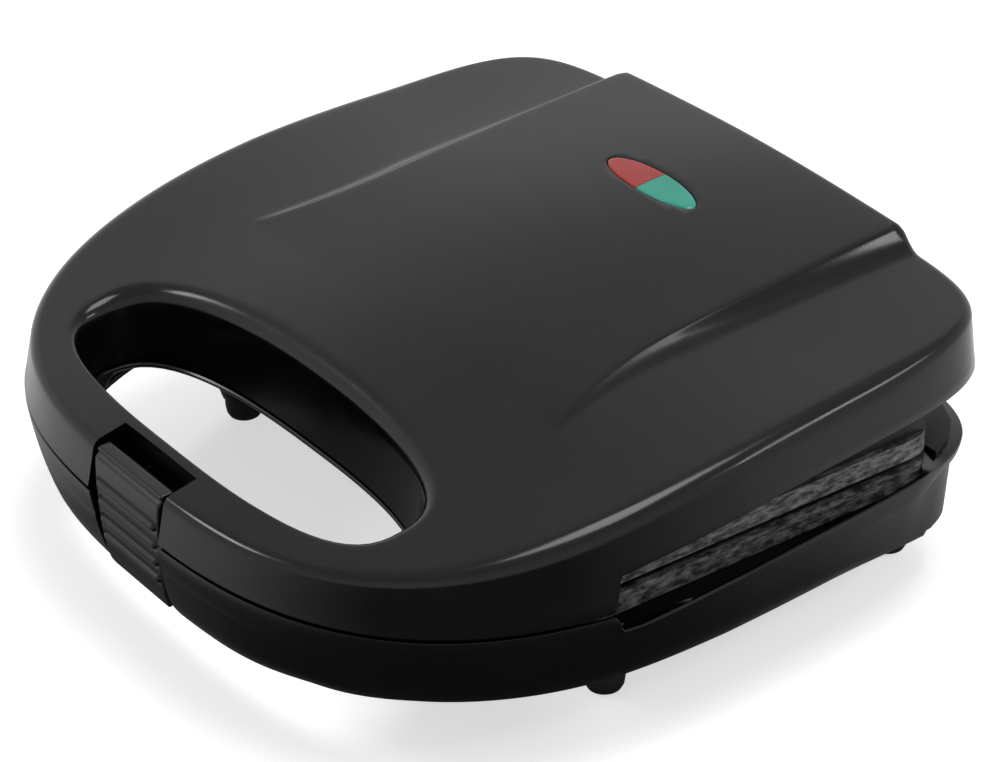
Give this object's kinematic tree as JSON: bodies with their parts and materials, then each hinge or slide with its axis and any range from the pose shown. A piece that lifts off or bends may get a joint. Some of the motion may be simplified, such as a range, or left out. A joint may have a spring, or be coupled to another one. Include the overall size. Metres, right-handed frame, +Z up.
{
  "type": "sandwich toaster",
  "caption": "Countertop sandwich toaster with a rear-hinged lid, two cooking plates, a handle cut through both halves and a swinging latch.",
  "frame": {"origin": "centre of the overall box at the surface the toaster stands on", "axes": "+X to the right of a person at the handle, -Y towards the handle and latch, +Y towards the hinge, +Z up"},
  "size_m": [0.23, 0.2128, 0.0849],
  "materials": {
    "gloss_shell": "black moulded plastic, satin top and glossy sides",
    "satin_latch": "black satin plastic with grip ribs",
    "inner_moulding": "matt black heat-resistant plastic",
    "nonstick_casting": "dark grey non-stick coat on cast aluminium",
    "heater_sheath": "oxidised steel tube",
    "plated_steel": "bright plated steel",
    "steel_pin": "ground steel",
    "ceramic": "cream ceramic and heat-proof resin",
    "wire_sleeve": "woven glass-fibre sleeve",
    "rubber": "dark soft rubber",
    "red_lens": "smooth frosted red plastic",
    "green_lens": "prismatic green plastic",
    "lamp_glass": "clear lamp glass"
  },
  "bodies": {
    "base": {"base_shell": "gloss_shell", "base_frame": "inner_moulding", "lower_plate": "nonstick_casting", "lower_heater": "heater_sheath", "lower_heater_clamps": "plated_steel", "lower_reflector": "plated_steel", "lower_plate_screws": "plated_steel", "thermostat": "ceramic", "thermal_fuse": "ceramic", "terminal_block": "ceramic", "lower_wiring": "wire_sleeve", "link_lead_lower": "wire_sleeve", "cord_inlet": "rubber", "latch_keeper": "inner_moulding", "base_screws": "plated_steel", "feet": "rubber", "hinge_pin_left": "steel_pin", "hinge_pin_right": "steel_pin"},
    "lid": {"lid_shell": "gloss_shell", "lid_frame": "inner_moulding", "upper_plate": "nonstick_casting", "upper_heater": "heater_sheath", "upper_heater_clamps": "plated_steel", "upper_reflector": "plated_steel", "upper_plate_screws": "plated_steel", "red_lens": "red_lens", "green_lens": "green_lens", "lamp_holder": "ceramic", "red_lamp": "lamp_glass", "green_lamp": "lamp_glass", "lamp_resistors": "ceramic", "upper_wiring": "wire_sleeve", "link_lead_upper": "wire_sleeve", "lid_screws": "plated_steel", "latch_pin": "steel_pin"},
    "latch": {"latch": "satin_latch"}
  },
  "joints": [
    {"name": "lid_hinge", "type": "hinge", "parent": "base", "child": "lid", "pos_m": [0, 0.1009, 0.05], "axis": [-1, 0, 0], "range_deg": [0, 100]},
    {"name": "latch_pivot", "type": "hinge", "parent": "lid", "child": "latch", "pos_m": [0, -0.0971, 0.0495], "axis": [-1, 0, 0], "range_deg": [0, 25]}
  ]
}
